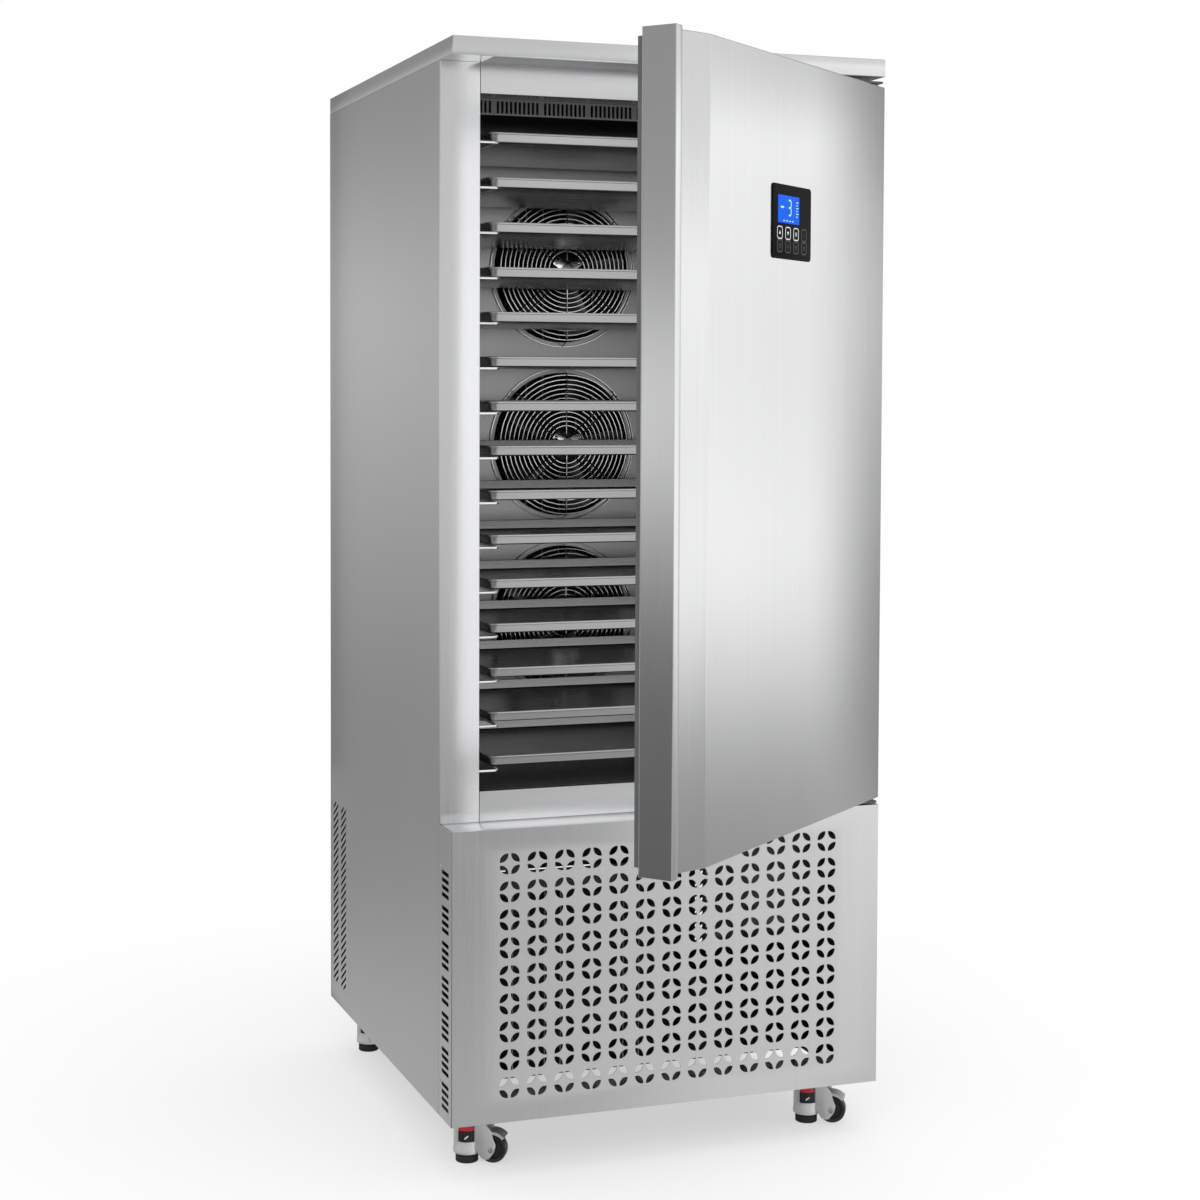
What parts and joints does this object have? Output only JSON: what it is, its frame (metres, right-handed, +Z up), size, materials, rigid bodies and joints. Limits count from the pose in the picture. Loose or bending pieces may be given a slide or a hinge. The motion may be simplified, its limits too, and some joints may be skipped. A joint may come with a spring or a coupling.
{
  "type": "blast chiller",
  "caption": "Upright stainless steel blast chiller with a partly open door, trays on wire racks, fans behind them, a perforated lower cover and levelling casters.",
  "frame": {"origin": "on the floor, under the middle of the part as it stands with its door partly open", "axes": "+Z up; the front faces -Y; the door is hinged on the right, at +X"},
  "size_m": [0.8053, 1.3583, 1.923],
  "materials": {
    "brushed_steel": "brushed",
    "dark_steel": "satin",
    "tray_steel": "satin",
    "chrome_wire": "polished",
    "galvanised": "galvanised",
    "cast_aluminium": "cast",
    "fin_aluminium": "mill",
    "foam": "foam",
    "black_paint": "satin",
    "black_plastic": "gloss",
    "black_nylon": "matte",
    "black_rubber": "matte",
    "grey_rubber": "matte"
  },
  "bodies": {
    "cabinet": {"base_frame": "galvanised", "left_side_panel": "brushed_steel", "right_side_panel": "brushed_steel", "back_panel": "galvanised", "rear_cover": "galvanised", "worktop": "brushed_steel", "top_rail": "brushed_steel", "bottom_rail": "brushed_steel", "insulation": "foam", "liner": "dark_steel", "front_cover": "brushed_steel", "air_duct": "dark_steel", "fan_plate": "dark_steel", "fan_guard_1": "black_paint", "fan_guard_2": "black_paint", "fan_guard_3": "black_paint", "evaporator": "fin_aluminium", "left_rack": "chrome_wire", "right_rack": "chrome_wire", "compressor": "black_paint", "condenser": "fin_aluminium", "control_box": "galvanised", "top_hinge": "black_paint", "bottom_hinge": "black_paint"},
    "door": {"door_shell": "brushed_steel", "door_core": "foam", "door_inner_skin": "brushed_steel", "door_gasket": "grey_rubber", "control_panel": "black_plastic"},
    "tray_01": {"tray_01": "tray_steel"},
    "tray_02": {"tray_02": "tray_steel"},
    "tray_03": {"tray_03": "tray_steel"},
    "tray_04": {"tray_04": "tray_steel"},
    "tray_05": {"tray_05": "tray_steel"},
    "tray_06": {"tray_06": "tray_steel"},
    "tray_07": {"tray_07": "tray_steel"},
    "tray_08": {"tray_08": "tray_steel"},
    "tray_09": {"tray_09": "tray_steel"},
    "tray_10": {"tray_10": "tray_steel"},
    "tray_11": {"tray_11": "tray_steel"},
    "tray_12": {"tray_12": "tray_steel"},
    "tray_13": {"tray_13": "tray_steel"},
    "tray_14": {"tray_14": "tray_steel"},
    "tray_15": {"tray_15": "tray_steel"},
    "fan_1": {"fan_rotor_1": "dark_steel"},
    "fan_2": {"fan_rotor_2": "dark_steel"},
    "fan_3": {"fan_rotor_3": "dark_steel"},
    "condenser_fan": {"condenser_rotor": "dark_steel"},
    "caster_front_left": {"caster_housing_front_left": "cast_aluminium"},
    "wheel_front_left": {"caster_wheel_front_left": "black_nylon"},
    "pad_front_left": {"foot_pad_front_left": "black_rubber"},
    "caster_front_right": {"caster_housing_front_right": "cast_aluminium"},
    "wheel_front_right": {"caster_wheel_front_right": "black_nylon"},
    "pad_front_right": {"foot_pad_front_right": "black_rubber"},
    "caster_back_left": {"caster_housing_back_left": "cast_aluminium"},
    "wheel_back_left": {"caster_wheel_back_left": "black_nylon"},
    "pad_back_left": {"foot_pad_back_left": "black_rubber"},
    "caster_back_right": {"caster_housing_back_right": "cast_aluminium"},
    "wheel_back_right": {"caster_wheel_back_right": "black_nylon"},
    "pad_back_right": {"foot_pad_back_right": "black_rubber"}
  },
  "joints": [
    {"name": "door_swing", "type": "hinge", "parent": "cabinet", "child": "door", "pos_m": [0.3865, -0.167, 1.2415], "axis": [0, 0, 1], "range_deg": [-39.6, 80.4]},
    {"name": "tray_01_slide", "type": "slide", "parent": "cabinet", "child": "tray_01", "axis": [0, -1, 0], "range_m": [0, 0.1]},
    {"name": "tray_02_slide", "type": "slide", "parent": "cabinet", "child": "tray_02", "axis": [0, -1, 0], "range_m": [0, 0.1]},
    {"name": "tray_03_slide", "type": "slide", "parent": "cabinet", "child": "tray_03", "axis": [0, -1, 0], "range_m": [0, 0.1]},
    {"name": "tray_04_slide", "type": "slide", "parent": "cabinet", "child": "tray_04", "axis": [0, -1, 0], "range_m": [0, 0.1]},
    {"name": "tray_05_slide", "type": "slide", "parent": "cabinet", "child": "tray_05", "axis": [0, -1, 0], "range_m": [0, 0.1]},
    {"name": "tray_06_slide", "type": "slide", "parent": "cabinet", "child": "tray_06", "axis": [0, -1, 0], "range_m": [0, 0.1]},
    {"name": "tray_07_slide", "type": "slide", "parent": "cabinet", "child": "tray_07", "axis": [0, -1, 0], "range_m": [0, 0.1]},
    {"name": "tray_08_slide", "type": "slide", "parent": "cabinet", "child": "tray_08", "axis": [0, -1, 0], "range_m": [0, 0.1]},
    {"name": "tray_09_slide", "type": "slide", "parent": "cabinet", "child": "tray_09", "axis": [0, -1, 0], "range_m": [0, 0.1]},
    {"name": "tray_10_slide", "type": "slide", "parent": "cabinet", "child": "tray_10", "axis": [0, -1, 0], "range_m": [0, 0.1]},
    {"name": "tray_11_slide", "type": "slide", "parent": "cabinet", "child": "tray_11", "axis": [0, -1, 0], "range_m": [0, 0.1]},
    {"name": "tray_12_slide", "type": "slide", "parent": "cabinet", "child": "tray_12", "axis": [0, -1, 0], "range_m": [0, 0.1]},
    {"name": "tray_13_slide", "type": "slide", "parent": "cabinet", "child": "tray_13", "axis": [0, -1, 0], "range_m": [0, 0.1]},
    {"name": "tray_14_slide", "type": "slide", "parent": "cabinet", "child": "tray_14", "axis": [0, -1, 0], "range_m": [0, 0.1]},
    {"name": "tray_15_slide", "type": "slide", "parent": "cabinet", "child": "tray_15", "axis": [0, -1, 0], "range_m": [0, 0.1]},
    {"name": "fan_1_spin", "type": "hinge", "parent": "cabinet", "child": "fan_1", "pos_m": [0, 0.4003, 1.571], "axis": [0, 1, 0], "continuous": true},
    {"name": "fan_2_spin", "type": "hinge", "parent": "cabinet", "child": "fan_2", "pos_m": [0, 0.4003, 1.231], "axis": [0, 1, 0], "continuous": true},
    {"name": "fan_3_spin", "type": "hinge", "parent": "cabinet", "child": "fan_3", "pos_m": [0, 0.4003, 0.891], "axis": [0, 1, 0], "continuous": true},
    {"name": "condenser_fan_spin", "type": "hinge", "parent": "cabinet", "child": "condenser_fan", "pos_m": [-0.125, 0.173, 0.2683], "axis": [0, 1, 0], "continuous": true},
    {"name": "caster_front_left_swivel", "type": "hinge", "parent": "cabinet", "child": "caster_front_left", "pos_m": [-0.34, -0.079, 0.08], "axis": [0, 0, 1], "continuous": true},
    {"name": "wheel_front_left_spin", "type": "hinge", "parent": "caster_front_left", "child": "wheel_front_left", "pos_m": [-0.30014, -0.10391, 0.026], "axis": [0.5299, 0.848, 0], "continuous": true},
    {"name": "pad_front_left_screw", "type": "slide", "parent": "caster_front_left", "child": "pad_front_left", "axis": [0, 0, -1], "range_m": [-0.008, 0.006]},
    {"name": "caster_front_right_swivel", "type": "hinge", "parent": "cabinet", "child": "caster_front_right", "pos_m": [0.312, -0.079, 0.08], "axis": [0, 0, 1], "continuous": true},
    {"name": "wheel_front_right_spin", "type": "hinge", "parent": "caster_front_right", "child": "wheel_front_right", "pos_m": [0.35186, -0.10391, 0.026], "axis": [0.5299, 0.848, 0], "continuous": true},
    {"name": "pad_front_right_screw", "type": "slide", "parent": "caster_front_right", "child": "pad_front_right", "axis": [0, 0, -1], "range_m": [-0.008, 0.006]},
    {"name": "caster_back_left_swivel", "type": "hinge", "parent": "cabinet", "child": "caster_back_left", "pos_m": [-0.34, 0.591, 0.08], "axis": [0, 0, 1], "continuous": true},
    {"name": "wheel_back_left_spin", "type": "hinge", "parent": "caster_back_left", "child": "wheel_back_left", "pos_m": [-0.30014, 0.56609, 0.026], "axis": [0.5299, 0.848, 0], "continuous": true},
    {"name": "pad_back_left_screw", "type": "slide", "parent": "caster_back_left", "child": "pad_back_left", "axis": [0, 0, -1], "range_m": [-0.008, 0.006]},
    {"name": "caster_back_right_swivel", "type": "hinge", "parent": "cabinet", "child": "caster_back_right", "pos_m": [0.312, 0.591, 0.08], "axis": [0, 0, 1], "continuous": true},
    {"name": "wheel_back_right_spin", "type": "hinge", "parent": "caster_back_right", "child": "wheel_back_right", "pos_m": [0.35186, 0.56609, 0.026], "axis": [0.5299, 0.848, 0], "continuous": true},
    {"name": "pad_back_right_screw", "type": "slide", "parent": "caster_back_right", "child": "pad_back_right", "axis": [0, 0, -1], "range_m": [-0.008, 0.006]}
  ]
}
